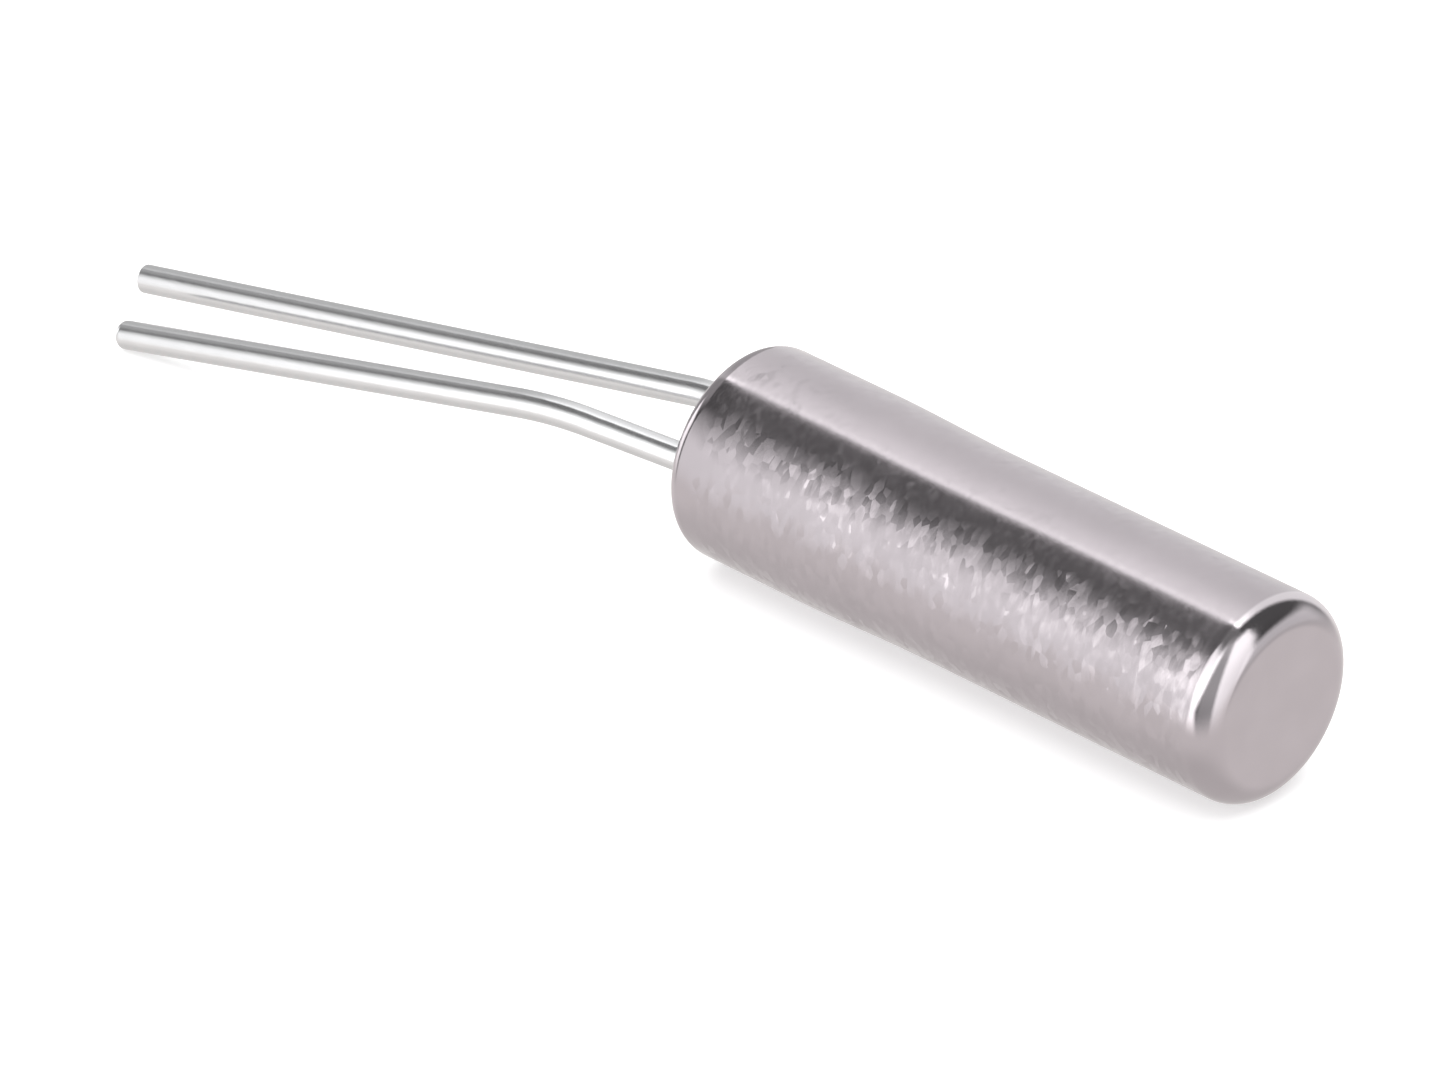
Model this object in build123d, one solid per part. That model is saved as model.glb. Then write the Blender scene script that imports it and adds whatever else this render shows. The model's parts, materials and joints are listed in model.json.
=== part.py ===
from build123d import *
import math
import os

# Quartz crystal in a cylindrical metal can with two wire leads, in millimetres.
# The can lies on its side along X, closed end towards +X, and +Z is up.
# The origin is on the can's axis, halfway along the can.

# Can: a drawn cup whose mouth is rolled in over the base
can_length = 10.1
can_radius = 1.55
can_wall = 0.20
closed_end_wall = 0.25
closed_end_rounding = 0.42
closed_end_inner_rounding = 0.22
lip_rounding = 0.30
mouth_swell = 0.05
swell_fade = 4.4

# Base: a metal ring filled with glass, pressed into the mouth
ring_length = 1.7
ring_bore_radius = 1.05
ring_lead_in = 0.12
glass_recess = 0.12
glass_creep_height = 0.09
glass_creep_reach = 0.12
glass_creep_arc = 0.14

# Leads: round tinned wire, one piece each from the quartz to the tip
lead_radius = 0.215
lead_pitch = 1.10
lead_clocking = 22.0
inner_post_length = 1.00
seat_length = 0.85
front_tip_rounding = 0.12
rear_tip_rounding = 0.04

# Lead routes outside the can: straight stub, bend radii, and points from the rim's centre
front_stub = 0.35
front_stub_bend = 3.0
front_bend_point = (-2.87, -0.84, -0.19)
front_bend = 7.5
front_tip_reach = (-10.33, -2.18)
rear_stub = 1.0
rear_stub_bend = 3.0
rear_tip_point = (-10.85, -1.177, -1.08)

# Quartz blank: a bevelled strip that lies on the leads' flat seats
blank_length = 6.0
blank_width = 1.80
blank_thickness = 0.26
blank_bevel_length = 0.90
blank_bevel_depth = 0.07
dab_radius = 0.34
dab_from_post_end = 0.15

# Derived sizes
rim_x = -can_length / 2
closed_x = can_length / 2
mouth_radius = can_radius + mouth_swell
ring_radius = mouth_radius - can_wall
lip_inner_rounding = lip_rounding - can_wall
lip_edge_radius = mouth_radius - lip_rounding
ring_start_x = rim_x + can_wall
ring_end_x = ring_start_x + ring_length
swell_end_x = ring_end_x + 0.1
fade_end_x = rim_x + swell_fade
glass_start_x = ring_start_x + glass_recess
glass_end_x = ring_end_x - glass_recess
post_end_x = ring_end_x + inner_post_length
seat_start_x = post_end_x - seat_length
clocking = math.radians(lead_clocking)
lead_y = lead_pitch / 2 * math.cos(clocking)
lead_z = lead_pitch / 2 * math.sin(clocking)
floor_z = -mouth_radius


def from_rim(point):
    """Move a point given from the rim's centre into the part's frame."""
    return (rim_x + point[0], point[1], point[2])


def turned(profile_line):
    """Revolve a closed half-section, drawn with its radius along Y, about the can's axis."""
    return revolve(make_face(profile_line), axis=Axis.X, revolution_arc=360)


def clocked(solid):
    """Turn a solid drawn with its leads along Y to the leads' own clocking."""
    return Rot(X=lead_clocking) * solid


def make_can():
    """Drawn cup: rounded closed end, mouth swollen over the base, lip rolled in."""
    inner_radius = can_radius - can_wall
    inner_end_x = closed_x - closed_end_wall
    section = Curve() + [
        Line((closed_x, 0), (closed_x, can_radius - closed_end_rounding)),
        TangentArc(
            (closed_x, can_radius - closed_end_rounding),
            (closed_x - closed_end_rounding, can_radius),
            tangent=(0, 1),
        ),
        Line((closed_x - closed_end_rounding, can_radius), (fade_end_x, can_radius)),
        Spline(
            (fade_end_x, can_radius),
            (swell_end_x, mouth_radius),
            tangents=[(-1, 0), (-1, 0)],
        ),
        Line((swell_end_x, mouth_radius), (rim_x + lip_rounding, mouth_radius)),
        TangentArc(
            (rim_x + lip_rounding, mouth_radius),
            (rim_x, lip_edge_radius),
            tangent=(-1, 0),
        ),
        Line((rim_x, lip_edge_radius), (ring_start_x, lip_edge_radius)),
        TangentArc(
            (ring_start_x, lip_edge_radius),
            (ring_start_x + lip_inner_rounding, ring_radius),
            tangent=(0, 1),
        ),
        Line((ring_start_x + lip_inner_rounding, ring_radius), (swell_end_x, ring_radius)),
        Spline(
            (swell_end_x, ring_radius),
            (fade_end_x, inner_radius),
            tangents=[(1, 0), (1, 0)],
        ),
        Line((fade_end_x, inner_radius), (inner_end_x - closed_end_inner_rounding, inner_radius)),
        TangentArc(
            (inner_end_x - closed_end_inner_rounding, inner_radius),
            (inner_end_x, inner_radius - closed_end_inner_rounding),
            tangent=(1, 0),
        ),
        Line((inner_end_x, inner_radius - closed_end_inner_rounding), (inner_end_x, 0)),
        Line((inner_end_x, 0), (closed_x, 0)),
    ]
    return turned(section)


def make_base_ring():
    """Metal ring of the base, its outer corner seated in the rolled lip."""
    section = Curve() + [
        Line((ring_start_x, ring_bore_radius), (ring_start_x, lip_edge_radius)),
        TangentArc(
            (ring_start_x, lip_edge_radius),
            (ring_start_x + lip_inner_rounding, ring_radius),
            tangent=(0, 1),
        ),
        Line((ring_start_x + lip_inner_rounding, ring_radius), (ring_end_x - ring_lead_in, ring_radius)),
        Line((ring_end_x - ring_lead_in, ring_radius), (ring_end_x, ring_radius - ring_lead_in)),
        Line((ring_end_x, ring_radius - ring_lead_in), (ring_end_x, ring_bore_radius)),
        Line((ring_end_x, ring_bore_radius), (ring_start_x, ring_bore_radius)),
    ]
    return turned(section)


def glass_creep(wall_radius, way):
    """Hollow corner of glass drawn up a round wall at the outer face, outwards from it or inwards."""
    top = (glass_start_x - glass_creep_height, wall_radius)
    foot = (glass_start_x, wall_radius + way * glass_creep_reach)
    corner = (glass_start_x, wall_radius)
    return turned(
        Curve() + [Line(corner, top), RadiusArc(top, foot, -way * glass_creep_arc), Line(foot, corner)]
    )


def make_glass_seal():
    """Glass that fills the ring round the two leads, short of its faces, and creeps up what it wets."""
    depth = glass_end_x - glass_start_x
    face = Plane(origin=(glass_start_x, 0, 0), x_dir=(0, 1, 0), z_dir=(1, 0, 0))
    disc = Circle(ring_bore_radius)
    for side in (1, -1):
        disc -= Pos(side * lead_y, side * lead_z) * Circle(lead_radius)
    seal = extrude(face * disc, depth) + glass_creep(ring_bore_radius, -1)
    for side in (1, -1):
        seal += Pos(0, side * lead_y, side * lead_z) * glass_creep(lead_radius, 1)
    return seal


def make_lead(route, bends, tip_rounding):
    """Wire swept along its route, with a flat seat at its inner end and a rounded tip."""
    path = FilletPolyline(*route, radius=bends)
    start = Plane(origin=path @ 0, z_dir=path % 0)
    wire = sweep(start * Circle(lead_radius), path=path)
    tip_face = wire.faces().filter_by(GeomType.PLANE).sort_by_distance(route[-1])[0]
    wire = fillet(tip_face.edges(), tip_rounding)
    above_seat = Box(
        seat_length, lead_pitch * 2, lead_radius * 2, align=(Align.MIN, Align.CENTER, Align.MIN)
    )
    return wire - clocked(Pos(X=seat_start_x) * above_seat)


def front_route():
    """Points of the front lead, from the quartz to the tip that lies on the floor."""
    tip_x, tip_y = front_tip_reach
    return [
        (post_end_x, -lead_y, -lead_z),
        from_rim((-front_stub, -lead_y, -lead_z)),
        from_rim(front_bend_point),
        from_rim((tip_x, tip_y, floor_z + lead_radius)),
    ]


def rear_route():
    """Points of the rear lead, from the quartz to the tip that stays above the floor."""
    return [
        (post_end_x, lead_y, lead_z),
        from_rim((-rear_stub, lead_y, lead_z)),
        from_rim(rear_tip_point),
    ]


def make_quartz_blank():
    """Strip of quartz with bevelled ends, flat on the seats of both leads."""
    near = seat_start_x
    far = near + blank_length
    top = blank_thickness
    side_outline = Polyline(
        (near, 0),
        (far - blank_bevel_length, 0),
        (far, blank_bevel_depth),
        (far, top - blank_bevel_depth),
        (far - blank_bevel_length, top),
        (near + blank_bevel_length, top),
        (near, top - blank_bevel_depth),
        close=True,
    )
    side = make_face(Plane.XZ * side_outline)
    return clocked(extrude(side, blank_width / 2, both=True))


def make_adhesive_dab(side, lead):
    """Dab of conductive adhesive under the blank, round one lead's inner end."""
    centre_x = post_end_x - dab_from_post_end
    dome = Sphere(
        dab_radius, arc_size1=-90, arc_size2=0, align=(Align.CENTER, Align.CENTER, Align.MAX)
    )
    return clocked(Pos(centre_x, side * lead_pitch / 2, 0) * dome) - lead


def build_parts():
    """Make every piece, by node name."""
    lead_front = make_lead(front_route(), [front_stub_bend, front_bend], front_tip_rounding)
    lead_rear = make_lead(rear_route(), [rear_stub_bend], rear_tip_rounding)
    return {
        "can": make_can(),
        "base_ring": make_base_ring(),
        "glass_seal": make_glass_seal(),
        "lead_front": lead_front,
        "lead_rear": lead_rear,
        "quartz_blank": make_quartz_blank(),
        "adhesive_front": make_adhesive_dab(-1, lead_front),
        "adhesive_rear": make_adhesive_dab(1, lead_rear),
    }


os.makedirs("parts", exist_ok=True)
for node, solid in build_parts().items():
    export_step(solid, f"parts/{node}.step")
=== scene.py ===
"""Dresses a two-lead quartz crystal in a drawn metal can, lying on a pale floor in soft studio light."""

import json
import logging
import math
from abc import ABC, abstractmethod
from collections.abc import Mapping, Sequence
from dataclasses import dataclass
from enum import Enum

import bmesh
import bpy
from mathutils import Matrix, Vector


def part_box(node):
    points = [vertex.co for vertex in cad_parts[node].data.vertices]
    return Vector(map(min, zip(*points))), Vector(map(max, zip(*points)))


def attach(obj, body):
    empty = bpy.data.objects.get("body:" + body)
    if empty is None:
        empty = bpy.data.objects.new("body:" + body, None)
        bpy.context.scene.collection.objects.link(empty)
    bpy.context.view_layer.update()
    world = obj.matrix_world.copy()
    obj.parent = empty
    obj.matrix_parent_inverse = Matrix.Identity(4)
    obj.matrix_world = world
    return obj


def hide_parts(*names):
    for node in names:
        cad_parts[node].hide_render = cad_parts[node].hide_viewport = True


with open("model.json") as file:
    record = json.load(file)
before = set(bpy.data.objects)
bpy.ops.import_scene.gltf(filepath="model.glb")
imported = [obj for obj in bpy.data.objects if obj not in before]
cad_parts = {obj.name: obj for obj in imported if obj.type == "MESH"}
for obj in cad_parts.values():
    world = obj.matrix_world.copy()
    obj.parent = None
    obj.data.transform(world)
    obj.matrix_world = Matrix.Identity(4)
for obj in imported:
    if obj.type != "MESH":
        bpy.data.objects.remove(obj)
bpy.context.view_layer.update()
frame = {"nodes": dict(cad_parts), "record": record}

log = logging.getLogger("crystal")

MM = 0.001
MICRON = 0.001 * MM
BODY = "root"
MERGE_DISTANCE = 1e-8
SHARP_ANGLE = math.radians(32.0)
SQUARE_ON = 0.99
ALONG_CAN = Vector((1.0, 0.0, 0.0))
CORNER_ROUNDING = 0.42 * MM
LIP_ROUNDING = 0.30 * MM
CLOCKING = 22.0

Colour = tuple[float, float, float]
Point = tuple[float, float]
Edge = tuple[float, float]
Grain = tuple[float, float, float]


class Node(Enum):
    """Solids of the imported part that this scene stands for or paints."""

    CAN = "can"
    BASE_RING = "base_ring"
    GLASS_SEAL = "glass_seal"
    LEAD_FRONT = "lead_front"
    LEAD_REAR = "lead_rear"
    QUARTZ_BLANK = "quartz_blank"
    ADHESIVE_FRONT = "adhesive_front"
    ADHESIVE_REAR = "adhesive_rear"


class Slot(Enum):
    """Material slots of the record."""

    CAN_METAL = "can_metal"
    RING_METAL = "ring_metal"
    SEAL_GLASS = "seal_glass"
    LEAD_TIN = "lead_tin"


class Mount(Enum):
    """Round mounts of the record whose radius is read."""

    CAN_BODY = "can_body"
    LEAD_FRONT_END = "lead_front_end"


class Sum(Enum):
    """Arithmetic that a Math or Vector Math node does."""

    ADD = "ADD"
    SUBTRACT = "SUBTRACT"
    MULTIPLY = "MULTIPLY"
    MULTIPLY_ADD = "MULTIPLY_ADD"
    ABSOLUTE = "ABSOLUTE"
    ARCTAN2 = "ARCTAN2"
    SCALE = "SCALE"
    CROSS = "CROSS_PRODUCT"
    DOT = "DOT_PRODUCT"
    NORMALIZE = "NORMALIZE"


class Value:
    """A shader socket that takes part in Python arithmetic."""

    def __init__(self, graph: "Graph", socket: bpy.types.NodeSocket) -> None:
        """Keep the graph that holds the socket."""
        self.graph = graph
        self.socket = socket

    def __add__(self, other: "Value | float") -> "Value":
        """Sum."""
        return self.graph.math(Sum.ADD, self, other)

    def __radd__(self, other: float) -> "Value":
        """Sum with a number first."""
        return self.graph.math(Sum.ADD, other, self)

    def __sub__(self, other: "Value | float") -> "Value":
        """Difference."""
        return self.graph.math(Sum.SUBTRACT, self, other)

    def __rsub__(self, other: float) -> "Value":
        """Difference with a number first."""
        return self.graph.math(Sum.SUBTRACT, other, self)

    def __mul__(self, other: "Value | float") -> "Value":
        """Product."""
        return self.graph.math(Sum.MULTIPLY, self, other)

    def __rmul__(self, other: float) -> "Value":
        """Product with a number first."""
        return self.graph.math(Sum.MULTIPLY, other, self)

    def __abs__(self) -> "Value":
        """Size without sign."""
        return self.graph.math(Sum.ABSOLUTE, self)


class Graph:
    """A node tree that is written as expressions."""

    def __init__(self, tree: bpy.types.NodeTree) -> None:
        """Start the tree empty."""
        self.tree = tree
        tree.nodes.clear()

    def add(
        self,
        kind: str,
        settings: Mapping[str, object] | None = None,
        sockets: Mapping[str | int, object] | None = None,
    ) -> bpy.types.Node:
        """Add one node.

        Args:
            kind: Blender's name of the node's type.
            settings: properties of the node, set before its sockets.
            sockets: values or links, by the name or number of the input.

        Returns:
            The node.
        """
        node = self.tree.nodes.new(kind)
        for name, setting in (settings or {}).items():
            setattr(node, name, setting)
        for name, given in (sockets or {}).items():
            if isinstance(given, Value):
                self.tree.links.new(given.socket, node.inputs[name])
            else:
                node.inputs[name].default_value = given
        return node

    def read(
        self,
        kind: str,
        settings: Mapping[str, object] | None = None,
        sockets: Mapping[str | int, object] | None = None,
        output: str | int = 0,
    ) -> Value:
        """Add one node and take one of its outputs.

        Args:
            kind: Blender's name of the node's type.
            settings: properties of the node, set before its sockets.
            sockets: values or links, by the name or number of the input.
            output: the name or number of the output.

        Returns:
            The output, ready for arithmetic.
        """
        return Value(self, self.add(kind, settings, sockets).outputs[output])

    def math(self, operation: Sum, *operands: Value | float) -> Value:
        """Add a Math node on one or two operands."""
        return self.read("ShaderNodeMath", {"operation": operation.value}, dict(enumerate(operands)))

    def rise(self, value: Value, low: float, high: float) -> Value:
        """Go smoothly from 0 to 1.

        Args:
            value: what is looked at.
            low: where the rise starts.
            high: where it ends.

        Returns:
            0 below low, 1 above high.
        """
        return self.read(
            "ShaderNodeMapRange",
            {"interpolation_type": "SMOOTHSTEP"},
            {"Value": value, "From Min": low, "From Max": high},
        )

    def place(self) -> Value:
        """The point on the piece, in metres of the part's frame."""
        return self.read("ShaderNodeTexCoord", output="Object")

    def axes(self, vector: Value) -> tuple[Value, Value, Value]:
        """Split a vector into its three parts."""
        node = self.add("ShaderNodeSeparateXYZ", sockets={0: vector})
        return tuple(Value(self, output) for output in node.outputs)

    def spread(self, grain: Grain, seed: float) -> Value:
        """The point on the piece, counted in grains and moved away by a seed.

        Args:
            grain: length of one grain along X, Y and Z, in metres.
            seed: a number that sets one pattern apart from others.

        Returns:
            The vector that a texture takes.
        """
        per_metre = tuple(1.0 / size for size in grain)
        return self.vector(Sum.MULTIPLY_ADD, self.place(), per_metre, (seed, seed, seed))

    def noise(self, grain: Grain, detail: float = 2.0, seed: float = 0.0) -> Value:
        """Soft noise over the piece.

        Args:
            grain: length of one grain along X, Y and Z, in metres.
            detail: how many finer layers the noise has.
            seed: a number that sets this noise apart from others.

        Returns:
            The noise, about 0 to 1.
        """
        return self.read(
            "ShaderNodeTexNoise",
            sockets={"Vector": self.spread(grain, seed), "Scale": 1.0, "Detail": detail},
        )

    def flakes(self, grain: Grain, seed: float = 0.0) -> tuple[Value, Value, Value]:
        """Scale-like patches, each with its own levels.

        Args:
            grain: length of one patch along X, Y and Z, in metres.
            seed: a number that sets these patches apart from others.

        Returns:
            Three levels that don't depend on each other, 0 to 1.
        """
        patches = self.read(
            "ShaderNodeTexVoronoi",
            sockets={"Vector": self.spread(grain, seed), "Scale": 1.0},
            output="Color",
        )
        return self.axes(patches)

    def mix(self, share: Value, first: Value | Colour, second: Value | Colour) -> Value:
        """Blend two colours.

        Args:
            share: 0 for the first colour, 1 for the second.
            first: a colour or a socket with one.
            second: a colour or a socket with one.

        Returns:
            The blended colour.
        """
        colours = [each if isinstance(each, Value) else (*each, 1.0) for each in (first, second)]
        return self.read(
            "ShaderNodeMix", {"data_type": "RGBA"}, {0: share, 6: colours[0], 7: colours[1]}, output=2
        )

    def bump(self, microns: Value) -> Value:
        """Normal of a surface whose height is given in micrometres."""
        return self.read("ShaderNodeBump", sockets={"Distance": MICRON, "Height": microns})

    def vector(
        self, operation: Sum, *operands: Value | Vector | Grain, scale: Value | None = None
    ) -> Value:
        """Add a Vector Math node.

        Args:
            operation: what the node does.
            operands: vectors, one to three.
            scale: what Sum.SCALE multiplies by.

        Returns:
            The vector, or for Sum.DOT the number.
        """
        output = 1 if operation is Sum.DOT else 0
        sockets = dict(enumerate(operands))
        if scale is not None:
            sockets["Scale"] = scale
        return self.read("ShaderNodeVectorMath", {"operation": operation.value}, sockets, output)

    def tipped(self, normal: Value, tip: Value, roll: Value) -> Value:
        """Tip a normal along the can and round it.

        Args:
            normal: the normal to tip.
            tip: how far it tips towards the closed end, as a slope.
            roll: how far it tips round the can, as a slope.

        Returns:
            The tipped normal.
        """
        along = self.vector(Sum.SCALE, ALONG_CAN, scale=tip)
        round_can = self.vector(Sum.SCALE, self.vector(Sum.CROSS, ALONG_CAN, normal), scale=roll)
        moved = self.vector(Sum.ADD, self.vector(Sum.ADD, normal, along), round_can)
        return self.vector(Sum.NORMALIZE, moved)


@dataclass(frozen=True)
class Finish(ABC):
    """A surface finish, painted by its own nodes."""

    def material(self) -> bpy.types.Material:
        """Make the material.

        Returns:
            A material with one Principled shader.
        """
        material = bpy.data.materials.new(type(self).__name__)
        material.use_nodes = True
        graph = Graph(material.node_tree)
        shader = graph.read("ShaderNodeBsdfPrincipled", sockets=self.sockets(graph))
        graph.add("ShaderNodeOutputMaterial", sockets={"Surface": shader})
        return material

    @abstractmethod
    def sockets(self, graph: Graph) -> dict[str | int, object]:
        """Work out the Principled shader's sockets.

        Args:
            graph: the material's nodes.

        Returns:
            Values and links, by the name of the socket.
        """


@dataclass(frozen=True)
class DrawnNickelSilver(Finish):
    """Satin nickel silver, smoother at both ends, its wall drawn into small scales.

    Each scale tips its own way along the can and rolls its own way round it, as slopes. A rubbed strip
    along the can, at an angle above level on the far side, has no roll. The corner of the closed end has
    a painted highlight: a lighter colour that fades out low on the camera's side.
    """

    pale: Colour = (0.555, 0.511, 0.537)
    dull: Colour = (0.505, 0.465, 0.488)
    painted_highlight: Colour = (0.74, 0.69, 0.72)
    cloud: Grain = (0.9 * MM, 0.6 * MM, 0.6 * MM)
    polish: float = 0.18
    shine: float = 0.09
    haze: float = 0.06
    blot: Grain = (0.12 * MM, 0.18 * MM, 0.18 * MM)
    blot_from: float = 0.3
    blot_to: float = 0.7
    blot_tip: float = 0.042
    rest_tip: float = -0.035
    scale: Grain = (0.115 * MM, 0.18 * MM, 0.18 * MM)
    scale_tip: float = 0.050
    scale_roll: float = 0.150
    rubbed_climb: float = 50.0
    rubbed_from: float = 0.46 * MM
    rubbed_to: float = 0.68 * MM
    spark_blot: float = 0.6
    spark_from: float = 1.30
    spark_to: float = 1.38
    spark_tip: float = 0.045
    taper_tip: float = 0.035
    taper_before: float = 0.43 * MM
    taper_past: float = 0.27 * MM
    highlight_fade: float = 0.06 * MM
    highlight_from: float = -0.75 * MM
    highlight_to: float = -0.15 * MM
    face_margin: float = 0.01 * MM
    corner_fade: float = 0.15 * MM
    mouth_fade: float = 0.45 * MM
    pit: Grain = (0.05 * MM, 0.08 * MM, 0.08 * MM)
    pit_height: float = 0.6
    wave: Grain = (1.6 * MM, 1.1 * MM, 1.1 * MM)
    wave_height: float = 5.0

    def sockets(self, graph: Graph) -> dict[str | int, object]:
        """Clouded colour with a painted highlight on the corner, over tipped scales, pits and long waves.

        Args:
            graph: the material's nodes.

        Returns:
            Values and links, by the name of the socket.
        """
        rim, closed_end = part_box(Node.CAN.value)
        corner_x = closed_end.x - CORNER_ROUNDING
        face_x = closed_end.x - self.face_margin
        mouth_x = rim.x + LIP_ROUNDING
        climb = math.radians(self.rubbed_climb)
        scales, sparks, turns = graph.flakes(self.scale)
        pits = graph.noise(self.pit, detail=1.0, seed=3.0)
        waves = graph.noise(self.wave, detail=0.0, seed=7.0)
        cloud = graph.noise(self.cloud, detail=1.0, seed=11.0)
        along, _, _ = graph.axes(graph.place())
        wall = 1.0 - graph.rise(along, corner_x - self.corner_fade, corner_x)
        rolled = 1.0 - graph.rise(along, mouth_x, mouth_x + self.mouth_fade)
        blots = graph.noise(self.blot, detail=0.0, seed=17.0)
        bright = graph.rise(sparks + self.spark_blot * blots, self.spark_from, self.spark_to)
        tip = self.rest_tip + graph.rise(blots, self.blot_from, self.blot_to) * self.blot_tip
        tip = tip + scales * self.scale_tip + bright * self.spark_tip
        upward = graph.vector(Sum.DOT, graph.place(), (0.0, math.cos(climb), math.sin(climb)))
        rubbed = graph.rise(upward, self.rubbed_from, self.rubbed_to)
        roll = (turns - 0.5) * self.scale_roll * (1.0 - rubbed)
        leaning = graph.rise(along, corner_x - self.taper_before, corner_x)
        upright = graph.rise(along, corner_x, corner_x + self.taper_past)
        taper = leaning * (1.0 - upright) * self.taper_tip
        rough = graph.bump(pits * self.pit_height + waves * self.wave_height)
        satin = graph.mix(cloud, self.dull, self.pale)
        # Painted highlight: a lighter base colour on the closed end's corner that brightens its
        # reflections, fading out low on the camera's side.
        corner = graph.rise(along, corner_x, corner_x + self.highlight_fade)
        corner = corner * (1.0 - graph.rise(along, face_x - self.corner_fade, face_x))
        corner = corner * graph.rise(upward, self.highlight_from, self.highlight_to)
        return {
            "Base Color": graph.mix(corner, satin, self.painted_highlight),
            "Metallic": 1.0,
            "Roughness": self.polish + self.haze * pits - self.shine * (1.0 - wall + rolled),
            "Normal": graph.tipped(rough, tip * (wall - rolled) + taper, roll * (wall - rolled)),
        }


@dataclass(frozen=True)
class TinnedWire(Finish):
    """Bright tin over drawn wire, with faint lines along it and small soft dents."""

    pale: Colour = (0.82, 0.82, 0.83)
    dull: Colour = (0.76, 0.76, 0.77)
    polish: float = 0.20
    haze: float = 0.08
    line: Grain = (0.9 * MM, 0.03 * MM, 0.03 * MM)
    line_height: float = 0.5
    dent: Grain = (0.35 * MM, 0.16 * MM, 0.16 * MM)
    dent_height: float = 2.0

    def sockets(self, graph: Graph) -> dict[str | int, object]:
        """Clouded tin over draw lines and dents.

        Args:
            graph: the material's nodes.

        Returns:
            Values and links, by the name of the socket.
        """
        lines = graph.noise(self.line, detail=1.0)
        dents = graph.noise(self.dent, detail=1.0, seed=5.0)
        height = lines * self.line_height + dents * self.dent_height
        return {
            "Base Color": graph.mix(dents, self.dull, self.pale),
            "Metallic": 1.0,
            "Roughness": self.polish + self.haze * lines,
            "Normal": graph.bump(height),
        }


@dataclass(frozen=True)
class PlatedRing(Finish):
    """Dull plated metal of the base ring, finely grained."""

    pale: Colour = (0.62, 0.60, 0.58)
    dull: Colour = (0.46, 0.44, 0.42)
    cloud: Grain = (0.4 * MM, 0.3 * MM, 0.3 * MM)
    polish: float = 0.24
    haze: float = 0.16
    grain: Grain = (0.05 * MM, 0.05 * MM, 0.05 * MM)
    grain_height: float = 1.4

    def sockets(self, graph: Graph) -> dict[str | int, object]:
        """Cloudy plating over a fine grain.

        Args:
            graph: the material's nodes.

        Returns:
            Values and links, by the name of the socket.
        """
        grain = graph.noise(self.grain, detail=2.0)
        cloud = graph.noise(self.cloud, detail=2.0, seed=2.0)
        return {
            "Base Color": graph.mix(cloud, self.dull, self.pale),
            "Metallic": 1.0,
            "Roughness": self.polish + self.haze * grain,
            "Normal": graph.bump(grain * self.grain_height),
        }


@dataclass(frozen=True)
class SealingGlass(Finish):
    """Dark sealing glass, smooth from melting, with faint swirls."""

    deep: Colour = (0.010, 0.022, 0.024)
    pale: Colour = (0.035, 0.060, 0.062)
    gloss: float = 0.06
    haze: float = 0.10
    refraction: float = 1.52
    swirl: Grain = (0.3 * MM, 0.16 * MM, 0.16 * MM)
    ripple_height: float = 1.5

    def sockets(self, graph: Graph) -> dict[str | int, object]:
        """Swirled dark colour under a glossy, slightly rippled skin.

        Args:
            graph: the material's nodes.

        Returns:
            Values and links, by the name of the socket.
        """
        swirl = graph.noise(self.swirl, detail=3.0)
        return {
            "Base Color": graph.mix(swirl, self.deep, self.pale),
            "Metallic": 0.0,
            "Roughness": self.gloss + self.haze * swirl,
            "IOR": self.refraction,
            "Normal": graph.bump(swirl * self.ripple_height),
        }


@dataclass(frozen=True)
class PlatedQuartz(Finish):
    """Lapped quartz strip with a silver electrode over its middle."""

    quartz: Colour = (0.72, 0.75, 0.76)
    silver: Colour = (0.82, 0.80, 0.76)
    polish: float = 0.2
    haze: float = 0.2
    lapping: Grain = (0.02 * MM, 0.02 * MM, 0.02 * MM)
    electrode_half_length: float = 2.2 * MM
    electrode_half_width: float = 0.62 * MM
    film_edge: float = 0.03 * MM
    electrode_middle: float = 0.3 * MM

    def sockets(self, graph: Graph) -> dict[str | int, object]:
        """Clear strip outside the film, bright metal on it.

        Args:
            graph: the material's nodes.

        Returns:
            Values and links, by the name of the socket.
        """
        turned = graph.read(
            "ShaderNodeMapping",
            {"vector_type": "POINT"},
            {
                "Vector": graph.place(),
                "Location": (-self.electrode_middle, 0.0, 0.0),
                "Rotation": (-math.radians(CLOCKING), 0.0, 0.0),
            },
        )
        along, across, _ = graph.axes(turned)
        ends = 1.0 - graph.rise(
            abs(along), self.electrode_half_length, self.electrode_half_length + self.film_edge
        )
        sides = 1.0 - graph.rise(
            abs(across), self.electrode_half_width, self.electrode_half_width + self.film_edge
        )
        film = ends * sides
        lapping = graph.noise(self.lapping)
        return {
            "Base Color": graph.mix(film, self.quartz, self.silver),
            "Metallic": film,
            "Roughness": self.polish + self.haze * lapping,
            "Normal": graph.bump(lapping),
        }


@dataclass(frozen=True)
class SilverAdhesive(Finish):
    """Dull grey adhesive, grainy with silver flakes."""

    flake: Colour = (0.58, 0.57, 0.54)
    binder: Colour = (0.30, 0.29, 0.27)
    matt: float = 0.75
    glint: float = 0.25
    grain: Grain = (0.03 * MM, 0.03 * MM, 0.03 * MM)
    grain_height: float = 4.0

    def sockets(self, graph: Graph) -> dict[str | int, object]:
        """Flakes in a rough binder.

        Args:
            graph: the material's nodes.

        Returns:
            Values and links, by the name of the socket.
        """
        grain = graph.noise(self.grain, detail=3.0)
        return {
            "Base Color": graph.mix(grain, self.binder, self.flake),
            "Metallic": grain,
            "Roughness": self.matt - self.glint * grain,
            "Normal": graph.bump(grain * self.grain_height),
        }


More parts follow.
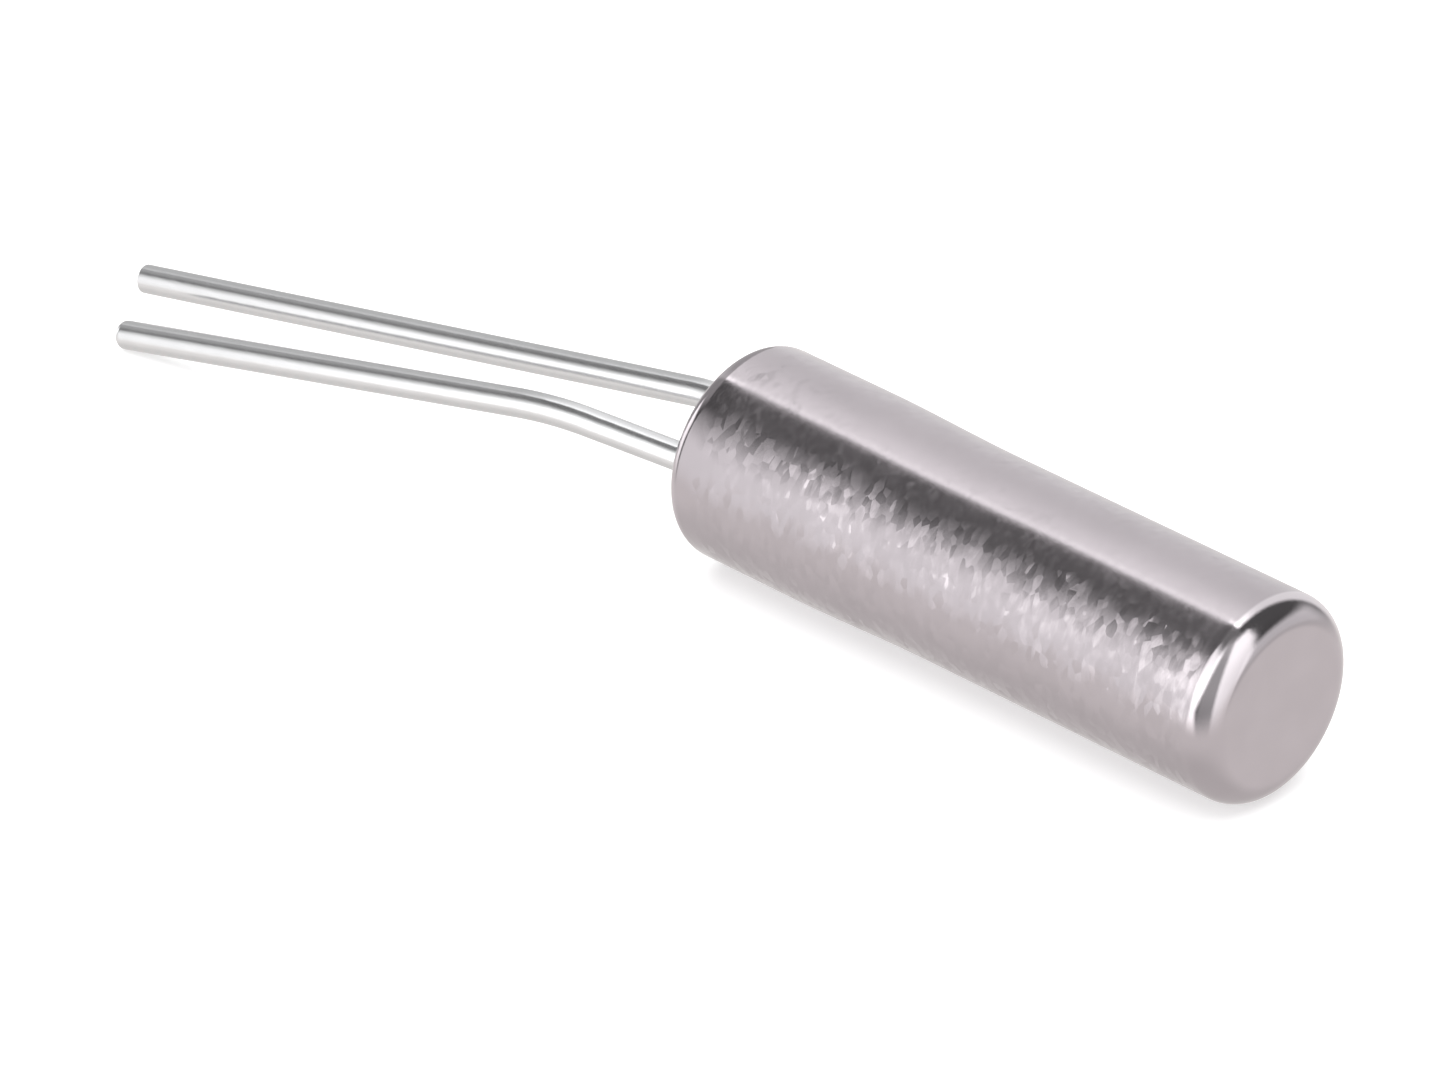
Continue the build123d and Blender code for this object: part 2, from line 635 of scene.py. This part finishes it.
@dataclass(frozen=True)
class PaleFloor(Finish):
    """Plain pale table top, lit a little from below."""

    bright: Colour = (0.86, 0.86, 0.86)
    dim: Colour = (0.84, 0.84, 0.84)
    glow: float = 0.50
    matt: float = 0.9
    cloud: Grain = (30 * MM, 30 * MM, 30 * MM)

    def sockets(self, graph: Graph) -> dict[str | int, object]:
        """Nearly even white, matt.

        Args:
            graph: the material's nodes.

        Returns:
            Values and links, by the name of the socket.
        """
        cloud = graph.noise(self.cloud)
        colour = graph.mix(cloud, self.dim, self.bright)
        return {
            "Base Color": colour,
            "Roughness": self.matt,
            "Emission Color": colour,
            "Emission Strength": self.glow,
        }


class Section:
    """A half-section drawn by a pen, with radius along Y, and turned about the can's axis."""

    def __init__(self, start: Point) -> None:
        """Set the pen down.

        Args:
            start: place along the axis and radius where the section starts.
        """
        self.mesh = bmesh.new()
        self.first = self.mesh.verts.new((*start, 0.0))
        self.pen = self.first

    def line(self, end: Point) -> None:
        """Draw a straight line to a place along the axis and a radius."""
        self.pen = bmesh.ops.extrude_vert_indiv(self.mesh, verts=[self.pen])["verts"][0]
        self.pen.co = (*end, 0.0)

    def arc(self, centre: Point, degrees: float, steps: int) -> None:
        """Draw an arc.

        Args:
            centre: place along the axis and radius of the arc's centre.
            degrees: turn of the pen about the centre, anticlockwise with X right and radius up.
            steps: straight pieces of the arc.
        """
        made = bmesh.ops.spin(
            self.mesh,
            geom=[self.pen],
            cent=(*centre, 0.0),
            axis=(0.0, 0.0, 1.0),
            dvec=(0.0, 0.0, 0.0),
            angle=math.radians(degrees),
            steps=steps,
            use_duplicate=False,
        )
        self.pen = made["geom_last"][0]

    def ease(self, end: Point, steps: int) -> None:
        """Draw a gentle S from the pen to a point, level at both ends.

        Args:
            end: place along the axis and radius where the S ends.
            steps: straight pieces of the S.
        """
        start = self.pen.co.copy()
        for step in range(1, steps + 1):
            share = step / steps
            lift = share * share * (3.0 - 2.0 * share)
            self.line((start.x + (end[0] - start.x) * share, start.y + (end[1] - start.y) * lift))

    def close(self) -> None:
        """Join the pen to where it started."""
        self.mesh.edges.new((self.pen, self.first))

    def turned(self, sides: int) -> bmesh.types.BMesh:
        """Turn the section into a closed round body.

        Args:
            sides: flats round the body.

        Returns:
            The body, with its faces pointing outwards.
        """
        bmesh.ops.spin(
            self.mesh,
            geom=self.mesh.verts[:] + self.mesh.edges[:],
            cent=(0.0, 0.0, 0.0),
            axis=ALONG_CAN,
            dvec=(0.0, 0.0, 0.0),
            angle=math.tau,
            steps=sides,
            use_merge=True,
        )
        return closed(self.mesh)


def widest(node: Node) -> float:
    """Largest reach of a solid from the can's axis, along Y or Z."""
    low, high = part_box(node.value)
    return max(-low.y, high.y, -low.z, high.z)


def pin_radius(mount: Mount) -> float:
    """Radius of one of the record's round mounts."""
    found = next(row for row in frame["record"]["mounts"] if row["name"] == mount.value)
    return found["dims"]["r_mm"] * MM


def closed(mesh: bmesh.types.BMesh) -> bmesh.types.BMesh:
    """Merge a mesh's doubles and point its faces outwards.

    Args:
        mesh: the mesh to close.

    Returns:
        The same mesh.
    """
    bmesh.ops.remove_doubles(mesh, verts=mesh.verts, dist=MERGE_DISTANCE)
    bmesh.ops.recalc_face_normals(mesh, faces=mesh.faces)
    return mesh


def settle(mesh: bmesh.types.BMesh, node: Node, finish: Finish) -> bpy.types.Object:
    """Make a piece from a mesh and put it in place of its solid.

    Args:
        mesh: the piece, already where it belongs.
        node: the solid that the piece stands for.
        finish: the finish to paint it with.

    Returns:
        The piece.
    """
    for face in mesh.faces:
        face.smooth = True
    for edge in mesh.edges:
        edge.smooth = edge.is_manifold and edge.calc_face_angle() < SHARP_ANGLE
    data = bpy.data.meshes.new(f"{node.value}_surface")
    mesh.to_mesh(data)
    mesh.free()
    data.materials.append(finish.material())
    piece = bpy.data.objects.new(f"{node.value}_surface", data)
    bpy.context.scene.collection.objects.link(piece)
    normals = piece.modifiers.new("even_normals", "WEIGHTED_NORMAL")
    normals.keep_sharp = True
    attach(piece, BODY)
    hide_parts(node.value)
    return piece


@dataclass
class Can:
    """Drawn cup: rounded closed end, straight wall, mouth swollen over the base, lip rolled in."""

    finish: DrawnNickelSilver
    wall: float = 0.20 * MM
    end_wall: float = 0.25 * MM
    end_rounding: float = CORNER_ROUNDING
    end_inner_rounding: float = 0.22 * MM
    lip_rounding: float = LIP_ROUNDING
    swell_fade: float = 4.4 * MM
    swell_past_ring: float = 0.1 * MM
    sides: int = 224
    arc_steps: int = 16
    ease_steps: int = 28

    def __post_init__(self) -> None:
        """Read the can's ends and radii from the frame."""
        low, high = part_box(Node.CAN.value)
        self.rim_x, self.closed_x = low.x, high.x
        self.mouth_radius = widest(Node.CAN)
        self.radius = pin_radius(Mount.CAN_BODY)
        self.swell_end_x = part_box(Node.BASE_RING.value)[1].x + self.swell_past_ring

    def section(self) -> Section:
        """Draw the wall from the middle of the closed end, out and round, to the middle of its inside.

        Returns:
            The drawn section.
        """
        fade_x = self.rim_x + self.swell_fade
        seat_x = self.rim_x + self.wall
        lip_edge = self.mouth_radius - self.lip_rounding
        lip_inner = self.lip_rounding - self.wall
        inner_end_x = self.closed_x - self.end_wall
        inner_radius = self.radius - self.wall
        bore = self.mouth_radius - self.wall
        pen = Section((self.closed_x, 0.0))
        pen.line((self.closed_x, self.radius - self.end_rounding))
        pen.arc((self.closed_x - self.end_rounding, self.radius - self.end_rounding), 90, self.arc_steps)
        pen.line((fade_x, self.radius))
        pen.ease((self.swell_end_x, self.mouth_radius), self.ease_steps)
        pen.line((self.rim_x + self.lip_rounding, self.mouth_radius))
        pen.arc((self.rim_x + self.lip_rounding, lip_edge), 90, self.arc_steps)
        pen.line((seat_x, lip_edge))
        pen.arc((seat_x + lip_inner, lip_edge), -90, self.arc_steps // 2)
        pen.line((self.swell_end_x, bore))
        pen.ease((fade_x, inner_radius), self.ease_steps // 2)
        pen.line((inner_end_x - self.end_inner_rounding, inner_radius))
        pen.arc(
            (inner_end_x - self.end_inner_rounding, inner_radius - self.end_inner_rounding),
            -90,
            self.arc_steps // 2,
        )
        pen.line((inner_end_x, 0.0))
        return pen

    def build(self) -> bpy.types.Object:
        """Turn the section and dress it."""
        return settle(self.section().turned(self.sides), Node.CAN, self.finish)


@dataclass
class BaseRing:
    """Metal ring pressed into the mouth, its outer corner seated in the rolled lip."""

    finish: PlatedRing
    corner_rounding: float = 0.10 * MM
    lead_in: float = 0.12 * MM
    sides: int = 160
    arc_steps: int = 8

    def __post_init__(self) -> None:
        """Read the ring's ends and radii from the frame."""
        low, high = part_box(Node.BASE_RING.value)
        self.outer_x, self.inner_x = low.x, high.x
        self.radius = widest(Node.BASE_RING)
        self.bore = widest(Node.GLASS_SEAL)

    def build(self) -> bpy.types.Object:
        """Draw the ring's closed section, turn it and dress it.

        Returns:
            The ring.
        """
        corner = self.radius - self.corner_rounding
        pen = Section((self.outer_x, self.bore))
        pen.line((self.outer_x, corner))
        pen.arc((self.outer_x + self.corner_rounding, corner), -90, self.arc_steps)
        pen.line((self.inner_x - self.lead_in, self.radius))
        pen.line((self.inner_x, self.radius - self.lead_in))
        pen.line((self.inner_x, self.bore))
        pen.close()
        return settle(pen.turned(self.sides), Node.BASE_RING, self.finish)


@dataclass
class LeadPair:
    """What the two leads share: wire size, pitch and the turn of their plane about the can's axis."""

    pitch: float = 1.10 * MM
    clocking: float = CLOCKING

    def __post_init__(self) -> None:
        """Read the wire's radius from the frame."""
        self.radius = pin_radius(Mount.LEAD_FRONT_END)

    def centre(self, side: int) -> Vector:
        """Place of one lead across the can, side -1 in front and 1 behind."""
        turn = math.radians(self.clocking)
        return Vector((0.0, math.cos(turn), math.sin(turn))) * (side * self.pitch / 2)

    def up(self) -> Vector:
        """Direction square to the plane of both leads."""
        turn = math.radians(self.clocking)
        return Vector((0.0, -math.sin(turn), math.cos(turn)))


@dataclass
class GlassSeal:
    """Glass that fills the ring round both leads and creeps up what it wets."""

    finish: SealingGlass
    leads: LeadPair
    creep_height: float = 0.09 * MM
    creep_reach: float = 0.12 * MM
    creep_arc: float = 0.14 * MM
    rim_sides: int = 160
    lead_sides: int = 64
    creep_steps: int = 8

    def __post_init__(self) -> None:
        """Read the glass's ends and radius from the frame."""
        low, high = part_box(Node.GLASS_SEAL.value)
        self.face_x = low.x + self.creep_height
        self.back_x = high.x
        self.radius = widest(Node.GLASS_SEAL)

    def creep(self) -> list[Point]:
        """Hollow curve from the glass's face up a wall.

        Returns:
            Height above the face and distance from the wall, from the foot to the top.
        """
        foot = Vector((0.0, self.creep_reach))
        top = Vector((self.creep_height, 0.0))
        chord = top - foot
        aside = Vector((-chord.y, chord.x)).normalized()
        centre = (foot + top) / 2 + aside * math.sqrt(self.creep_arc**2 - (chord.length / 2) ** 2)
        sweep = (foot - centre).angle_signed(top - centre)
        points = []
        for step in range(1, self.creep_steps + 1):
            spoke = foot - centre
            spoke.rotate(Matrix.Rotation(-sweep * step / self.creep_steps, 2))
            points.append(tuple(centre + spoke))
        return points

    def wall_up(
        self,
        mesh: bmesh.types.BMesh,
        loop: list[bmesh.types.BMEdge],
        centre: Vector,
        wall: float,
        way: int,
    ) -> list[bmesh.types.BMEdge]:
        """Draw a loop of the face up a round wall and then back along it to the far face.

        Args:
            mesh: the mesh to work on.
            loop: edges of the loop, at the foot of the creep.
            centre: a point on the wall's axis.
            wall: the wall's radius.
            way: 1 for a wall inside the glass's edge, -1 for one outside it.

        Returns:
            The edges of the loop where it ends, at the far face.
        """
        radius = wall + way * self.creep_reach
        place_x = self.face_x
        stations = [(self.face_x - height, wall + way * reach) for height, reach in self.creep()]
        for next_x, next_radius in [*stations, (self.back_x, wall)]:
            made = bmesh.ops.extrude_edge_only(mesh, edges=loop)["geom"]
            verts = [item for item in made if isinstance(item, bmesh.types.BMVert)]
            loop = [item for item in made if isinstance(item, bmesh.types.BMEdge)]
            share = next_radius / radius
            bmesh.ops.scale(
                mesh, vec=(1.0, share, share), space=Matrix.Translation(-centre), verts=verts
            )
            bmesh.ops.translate(mesh, vec=ALONG_CAN * (next_x - place_x), verts=verts)
            radius, place_x = next_radius, next_x
        return loop

    def build(self) -> bpy.types.Object:
        """Fill the face round the leads, draw its edges up the walls and close the far face.

        Returns:
            The glass.
        """
        mesh = bmesh.new()
        facing = Matrix.Translation(ALONG_CAN * self.face_x) @ Matrix.Rotation(math.pi / 2, 4, "Y")
        holes = [self.leads.centre(side) for side in (-1, 1)]
        walls = [(Vector(), self.radius, -1, self.rim_sides)]
        walls += [(hole, self.leads.radius, 1, self.lead_sides) for hole in holes]
        loops = []
        for centre, wall, way, sides in walls:
            ring = bmesh.ops.create_circle(
                mesh,
                radius=wall + way * self.creep_reach,
                segments=sides,
                matrix=Matrix.Translation(centre) @ facing,
            )["verts"]
            loops.append(list({edge for vert in ring for edge in vert.link_edges}))
        bmesh.ops.triangle_fill(mesh, edges=[edge for loop in loops for edge in loop], use_beauty=True)
        far = []
        for loop, (centre, wall, way, _) in zip(loops, walls):
            far += self.wall_up(mesh, loop, centre, wall, way)
        bmesh.ops.triangle_fill(mesh, edges=far, use_beauty=True)
        return settle(closed(mesh), Node.GLASS_SEAL, self.finish)


class Wire:
    """A round wire that is fed out and bent, as at a bench."""

    def __init__(self, start: Vector, heading: Vector, up: Vector, radius: float, sides: int) -> None:
        """Cut the wire square at its start.

        Args:
            start: middle of the cut.
            heading: direction in which the wire is fed.
            up: direction that one corner of the round section points to.
            radius: the wire's radius.
            sides: flats round the wire.
        """
        self.mesh = bmesh.new()
        self.place, self.heading = start.copy(), heading.normalized()
        across = up.cross(self.heading)
        turn = Matrix((across, up, self.heading)).transposed().to_4x4()
        bmesh.ops.create_circle(
            self.mesh,
            cap_ends=True,
            radius=radius,
            segments=sides,
            matrix=Matrix.Translation(start) @ turn,
        )
        self.mesh.faces.ensure_lookup_table()
        self.start = self.mesh.faces[0]
        self.end = self.start

    def feed(self, length: float) -> None:
        """Feed a straight run out.

        Args:
            length: length of the run.
        """
        made = bmesh.ops.extrude_face_region(self.mesh, geom=[self.end])["geom"]
        self.end = next(item for item in made if isinstance(item, bmesh.types.BMFace))
        bmesh.ops.translate(self.mesh, vec=self.heading * length, verts=self.end.verts[:])
        self.place += self.heading * length

    def bend(self, heading: Vector, radius: float, steps: int) -> None:
        """Bend the wire to a new heading.

        Args:
            heading: direction after the bend.
            radius: radius of the bend at the middle of the wire.
            steps: straight pieces of the bend.
        """
        axis = self.heading.cross(heading).normalized()
        angle = self.heading.angle(heading)
        centre = self.place + axis.cross(self.heading) * radius
        made = bmesh.ops.spin(
            self.mesh,
            geom=[self.end, *self.end.edges, *self.end.verts],
            cent=centre,
            axis=axis,
            dvec=(0.0, 0.0, 0.0),
            angle=angle,
            steps=steps,
            use_duplicate=False,
        )["geom_last"]
        self.end = next(item for item in made if isinstance(item, bmesh.types.BMFace))
        turn = Matrix.Rotation(angle, 3, axis)
        self.place = centre + turn @ (self.place - centre)
        self.heading = heading.normalized()

    def round_tip(self, rounding: float, steps: int) -> None:
        """Round the edge of the wire's far end.

        Args:
            rounding: radius of the rounding.
            steps: flats of the rounding.
        """
        bmesh.ops.bevel(
            self.mesh,
            geom=self.end.edges[:],
            offset=rounding,
            segments=steps,
            profile=0.5,
            affect="EDGES",
            material=-1,
        )


@dataclass
class Lead:
    """Tinned wire through the glass: half-round seat inside, bent run with a tip outside."""

    finish: TinnedWire
    pair: LeadPair
    node: Node
    side: int
    stub: float
    bends: Sequence[float]
    corners: Sequence[tuple[float, float, float]]
    tip_rounding: float
    seat_length: float = 0.85 * MM
    post_length: float = 1.0 * MM
    sides: int = 48
    bend_steps: int = 14
    tip_steps: int = 6

    def route(self) -> list[Vector]:
        """Corners of the wire's middle line, from the start of the seat to the tip.

        Returns:
            Points in metres of the part's frame.
        """
        rim_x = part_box(Node.CAN.value)[0].x
        seat_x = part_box(Node.BASE_RING.value)[1].x + self.post_length - self.seat_length
        across = self.pair.centre(self.side)
        points = [across + ALONG_CAN * seat_x, across + ALONG_CAN * (rim_x - self.stub)]
        for corner in self.corners:
            points.append(Vector(corner) + ALONG_CAN * rim_x)
        return points

    def seat(self, wire: Wire) -> None:
        """Carry the lower half of the wire's inner end on as the flat seat for the quartz.

        Args:
            wire: the bent wire.
        """
        up = self.pair.up()
        middle = wire.start.calc_center_median()
        bmesh.ops.bisect_plane(
            wire.mesh,
            geom=[wire.start, *wire.start.edges, *wire.start.verts],
            dist=MERGE_DISTANCE,
            plane_co=middle,
            plane_no=up,
        )
        ends = [face for face in wire.mesh.faces if face.normal.dot(ALONG_CAN) > SQUARE_ON]
        lower = min(ends, key=lambda face: (face.calc_center_median() - middle).dot(up))
        made = bmesh.ops.extrude_face_region(wire.mesh, geom=[lower])["geom"]
        verts = [item for item in made if isinstance(item, bmesh.types.BMVert)]
        bmesh.ops.translate(wire.mesh, vec=ALONG_CAN * self.seat_length, verts=verts)

    def build(self) -> bpy.types.Object:
        """Feed and bend the wire along its route, round its tip, add the seat and dress it.

        Returns:
            The lead.
        """
        points = self.route()
        ways = [(after - before).normalized() for before, after in zip(points, points[1:])]
        setbacks = [
            radius * math.tan(before.angle(after) / 2)
            for radius, before, after in zip(self.bends, ways, ways[1:])
        ]
        wire = Wire(points[0], ways[0], self.pair.up(), self.pair.radius, self.sides)
        for index, way in enumerate(ways):
            run = (points[index + 1] - points[index]).length
            run -= sum(setbacks[max(index - 1, 0) : index + 1])
            wire.feed(run)
            if index < len(self.bends):
                wire.bend(ways[index + 1], self.bends[index], self.bend_steps)
        wire.round_tip(self.tip_rounding, self.tip_steps)
        bmesh.ops.recalc_face_normals(wire.mesh, faces=wire.mesh.faces)
        self.seat(wire)
        return settle(closed(wire.mesh), self.node, self.finish)


@dataclass
class Resonator:
    """The quartz blank and the dabs that hold it, inside the can."""

    quartz: PlatedQuartz
    adhesive: SilverAdhesive

    def dress(self) -> list[bpy.types.Object]:
        """Paint the solids that stay as they are.

        Returns:
            The painted pieces.
        """
        quartz, adhesive = self.quartz.material(), self.adhesive.material()
        paints = {
            Node.QUARTZ_BLANK: quartz,
            Node.ADHESIVE_FRONT: adhesive,
            Node.ADHESIVE_REAR: adhesive,
        }
        pieces = []
        for node, paint in paints.items():
            piece = frame["nodes"][node.value]
            piece.data.materials.clear()
            piece.data.materials.append(paint)
            pieces.append(piece)
        return pieces


@dataclass(frozen=True)
class Sky:
    """A direction into the studio, taken apart.

    Lean is its part along X, height its part above or below the table's level and depth its part below.
    Slant is its part along a line that climbs from the camera's side to the back: the straight edge of a
    lamp that hangs along the can has one slant. Bearing is its angle about the vertical in degrees, 0 at
    the closed end and -90 on the camera's side.
    """

    graph: Graph
    lean: Value
    height: Value
    depth: Value
    slant: Value
    bearing: Value

    @classmethod
    def seen(cls, graph: Graph, climb: float) -> "Sky":
        """Take the world's direction apart.

        Args:
            graph: the world's nodes.
            climb: angle in degrees by which the line of slant climbs.

        Returns:
            The parts of the direction.
        """
        lean, aside, rise = graph.axes(graph.read("ShaderNodeTexCoord", output="Generated"))
        height = abs(rise)
        turn = math.radians(climb)
        slant = math.cos(turn) * aside + math.sin(turn) * height
        bearing = graph.math(Sum.ARCTAN2, aside, lean) * math.degrees(1.0)
        return cls(graph, lean, height, 0.0 - rise, slant, bearing)

    def past(self, value: Value, edge: Edge) -> Value:
        """0 before a soft edge and 1 past it; the edge is its middle and half-width."""
        return self.graph.rise(value, edge[0] - edge[1], edge[0] + edge[1])

    def between(self, value: Value, start: Edge, end: Edge) -> Value:
        """1 between two soft edges."""
        return self.past(value, start) * (1.0 - self.past(value, end))


class SoftLight(ABC):
    """A soft light of the studio, painted on the sky."""

    @abstractmethod
    def light(self, sky: Sky) -> Value:
        """Brightness in each direction."""


@dataclass(frozen=True)
class StandingBox(SoftLight):
    """A tall soft box that stands on the table's edge.

    Each edge is its middle and half-width. Both upright edges may lean out with height.
    """

    strength: float
    start: Edge
    end: Edge
    top: Edge
    start_lean: float = 0.0
    end_lean: float = 0.0

    def light(self, sky: Sky) -> Value:
        """Bright between two bearings, up to the top.

        Args:
            sky: the direction.

        Returns:
            Brightness in that direction.
        """
        begun = sky.past(sky.bearing + sky.height * self.start_lean, self.start)
        shown = begun * (1.0 - sky.past(sky.bearing - sky.height * self.end_lean, self.end))
        return shown * (1.0 - sky.past(sky.height, self.top)) * self.strength


@dataclass(frozen=True)
class HangingPanel(SoftLight):
    """A soft panel that hangs along the can; each edge is its middle and half-width."""

    strength: float
    slant_start: Edge
    slant_end: Edge
    lean_start: Edge
    lean_end: Edge

    def light(self, sky: Sky) -> Value:
        """Bright between two slants and two leans."""
        across = sky.between(sky.slant, self.slant_start, self.slant_end)
        return across * sky.between(sky.lean, self.lean_start, self.lean_end) * self.strength


@dataclass
class Studio:
    """Pale floor, soft lights round the part and an even lamp over the floor."""

    floor_finish: PaleFloor
    lights: Sequence[SoftLight]
    room: float = 0.11
    climb: float = 22.0
    sky_tint: Colour = (0.80, 0.80, 0.80)
    table_tint: Colour = (0.80, 0.778, 0.762)
    table_tone: float = 1.16
    table_fall: float = 0.24
    fall_from: float = 0.5
    fall_to: float = 0.9
    table_depth: float = 0.46
    floor_radius: float = 900 * MM
    floor_sides: int = 96
    lamp_height: float = 300 * MM
    lamp_size: float = 500 * MM
    lamp_power: float = 1.2

    def lay_floor(self) -> None:
        """Lay a round floor under the part."""
        mesh = bmesh.new()
        level = Matrix.Translation((0.0, 0.0, -widest(Node.CAN)))
        bmesh.ops.create_circle(
            mesh, cap_ends=True, radius=self.floor_radius, segments=self.floor_sides, matrix=level
        )
        data = bpy.data.meshes.new("floor")
        mesh.to_mesh(data)
        mesh.free()
        data.materials.append(self.floor_finish.material())
        floor = bpy.data.objects.new("floor", data)
        bpy.context.scene.collection.objects.link(floor)
        floor.visible_glossy = False

    def paint_sky(self) -> None:
        """Light the world with the soft lights in a dim room, mirrored in a glossy pale table."""
        world = bpy.data.worlds.new("studio")
        world.use_nodes = True
        graph = Graph(world.node_tree)
        sky = Sky.seen(graph, self.climb)
        total = self.lights[0].light(sky) + self.room
        for other in self.lights[1:]:
            total = total + other.light(sky)
        table = graph.rise(sky.depth, 0.0, self.table_depth)
        tone = self.table_tone - self.table_fall * graph.rise(sky.depth, self.fall_from, self.fall_to)
        total = total * (1.0 - table) + tone * table
        tint = graph.mix(table, self.sky_tint, self.table_tint)
        glow = graph.read("ShaderNodeBackground", sockets={"Color": tint, "Strength": total})
        graph.add("ShaderNodeOutputWorld", sockets={"Surface": glow})
        bpy.context.scene.world = world

    def hang_lamp(self) -> None:
        """Hang a large lamp that lights the floor evenly and stays out of reflections."""
        lamp = bpy.data.lights.new("floor_lamp", "AREA")
        lamp.shape = "DISK"
        lamp.size = self.lamp_size
        lamp.energy = self.lamp_power
        hung = bpy.data.objects.new("floor_lamp", lamp)
        hung.location = (0.0, 0.0, self.lamp_height)
        hung.visible_glossy = False
        hung.visible_camera = False
        bpy.context.scene.collection.objects.link(hung)

    def build(self) -> None:
        """Make the floor and the lights."""
        self.lay_floor()
        self.paint_sky()
        self.hang_lamp()


@dataclass(frozen=True)
class PhotoCamera:
    """Long lens that looks down on the closed end from the right."""

    azimuth: float = 43.24
    elevation: float = 31.43
    distance: float = 158.65 * MM
    focal_length: float = 286.25
    sensor_width: float = 36.0
    aim_from_rim: tuple[float, float, float] = (1.96 * MM, -2.50 * MM, 0.38 * MM)
    clip_share: float = 100.0

    def build(self) -> None:
        """Stand the camera and show its picture without a film look."""
        lens = bpy.data.cameras.new("photo_camera")
        lens.lens = self.focal_length
        lens.sensor_width = self.sensor_width
        lens.clip_start = self.distance / self.clip_share
        lens.clip_end = self.distance * self.clip_share
        camera = bpy.data.objects.new("photo_camera", lens)
        turn, rise = math.radians(self.azimuth), math.radians(self.elevation)
        back = Vector((math.sin(turn) * math.cos(rise), -math.cos(turn) * math.cos(rise), math.sin(rise)))
        aim = Vector(self.aim_from_rim) + ALONG_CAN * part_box(Node.CAN.value)[0].x
        camera.location = aim + back * self.distance
        camera.rotation_euler = back.to_track_quat("Z", "Y").to_euler()
        scene = bpy.context.scene
        scene.collection.objects.link(camera)
        scene.camera = camera
        scene.view_settings.view_transform = "Standard"


def studio() -> Studio:
    """The studio of this picture.

    Returns:
        A studio with a panel hung behind the can and a tall box on either side of the camera.
    """
    always, never = (-2.0, 0.1), (2.0, 0.1)
    edge, end = (0.381, 0.012), (-0.05, 0.12)
    over_can = (-0.645, 0.015)
    behind = HangingPanel(0.55, edge, never, always, end)
    near = HangingPanel(0.47, edge, never, over_can, end)
    fold = HangingPanel(0.48, edge, (0.66, 0.20), over_can, end)
    brow = HangingPanel(1.30, edge, (0.44, 0.025), over_can, end)
    corner = HangingPanel(0.40, edge, (0.62, 0.10), (-0.38, 0.08), end)
    over_leads = HangingPanel(0.38, (-0.05, 0.15), (0.45, 0.10), always, over_can)
    ceiling = HangingPanel(0.12, (-0.1, 0.2), (0.36, 0.02), (-0.52, 0.05), never)
    gap, gap_lean = (-95.0, 9.0), 32.0
    wing = StandingBox(1.30, start=(-147.0, 4.0), end=gap, top=(0.53, 0.31), end_lean=gap_lean)
    left = StandingBox(
        1.5, start=(-111.5, 5.0), end=gap, top=(0.87, 0.07), start_lean=20.0, end_lean=gap_lean
    )
    right = StandingBox(1.55, start=(-34.0, 8.0), end=(17.0, 6.0), top=(0.93, 0.05))
    fill = StandingBox(0.40, start=(-85.0, 10.0), end=(-35.0, 10.0), top=(0.95, 0.05))
    far = StandingBox(2.2, start=(-200.0, 5.0), end=(-157.0, 6.0), top=(0.34, 0.08))
    wall = StandingBox(0.95, start=(14.0, 6.0), end=(80.0, 20.0), top=(0.26, 0.16))
    panels = (behind, near, fold, brow, corner, over_leads, ceiling)
    boxes = (wing, left, right, fill, far, wall)
    return Studio(PaleFloor(), panels + boxes)


def leads(pair: LeadPair) -> list[Lead]:
    """Both leads of the crystal.

    Args:
        pair: what the leads share.

    Returns:
        The front lead, bent away from the can, and the rear lead, bent close to it.
    """
    tin = TinnedWire()
    floor_z = pair.radius - widest(Node.CAN)
    front = Lead(
        finish=tin,
        pair=pair,
        node=Node.LEAD_FRONT,
        side=-1,
        stub=0.35 * MM,
        bends=(3.0 * MM, 7.5 * MM),
        corners=((-2.87 * MM, -0.84 * MM, -0.19 * MM), (-10.33 * MM, -2.18 * MM, floor_z)),
        tip_rounding=0.12 * MM,
    )
    rear = Lead(
        finish=tin,
        pair=pair,
        node=Node.LEAD_REAR,
        side=1,
        stub=1.0 * MM,
        bends=(3.0 * MM,),
        corners=((-10.85 * MM, -1.177 * MM, -1.08 * MM),),
        tip_rounding=0.04 * MM,
    )
    return [front, rear]


def main() -> None:
    """Build the camera, the part and its studio, and report each piece."""
    logging.basicConfig(level=logging.INFO, format="%(name)s: %(message)s")
    PhotoCamera().build()
    pair = LeadPair()
    makers = [
        Can(DrawnNickelSilver()),
        BaseRing(PlatedRing()),
        GlassSeal(SealingGlass(), pair),
        *leads(pair),
    ]
    for maker in makers:
        piece = maker.build()
        log.info("%s has %d faces", piece.name, len(piece.data.polygons))
    for piece in Resonator(PlatedQuartz(), SilverAdhesive()).dress():
        log.info("%s is painted", piece.name)
    studio().build()


if __name__ == "__main__":
    main()
